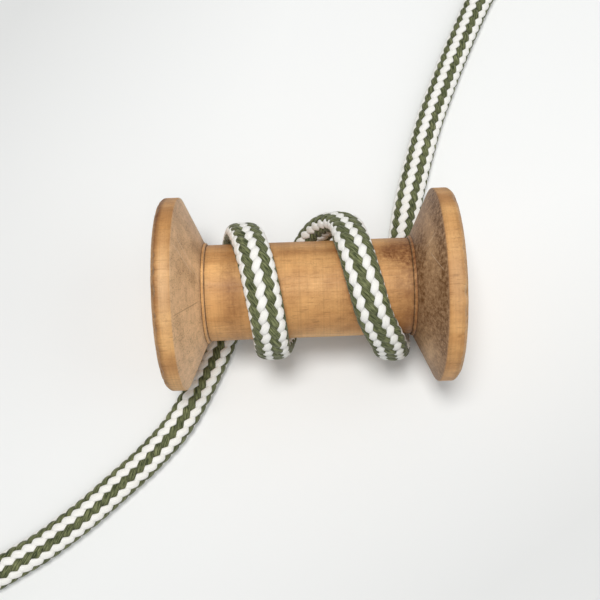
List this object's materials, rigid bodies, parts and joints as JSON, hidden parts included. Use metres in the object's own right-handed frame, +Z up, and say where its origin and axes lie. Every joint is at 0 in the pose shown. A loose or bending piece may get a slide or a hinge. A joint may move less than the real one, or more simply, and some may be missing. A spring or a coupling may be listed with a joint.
{
  "type": "roll of soft cord on a wooden spool",
  "caption": "Soft round braided cord in two open turns round a turned wooden spool on its side, its loose ends lying on the surface.",
  "frame": {"origin": "on the surface under the middle of the spool", "axes": "+X along the spool's axis, +Z up, -Y is the near side, where the left loose end runs"},
  "size_m": [0.2026, 0.2253, 0.0499],
  "materials": {
    "wood": "turned, plain, slightly worn",
    "cord": "soft matt braid in green and white yarns"
  },
  "bodies": {
    "root": {"spool": "wood", "wound_turns": "cord", "tail_left": "cord", "tail_right": "cord"}
  },
  "joints": []
}
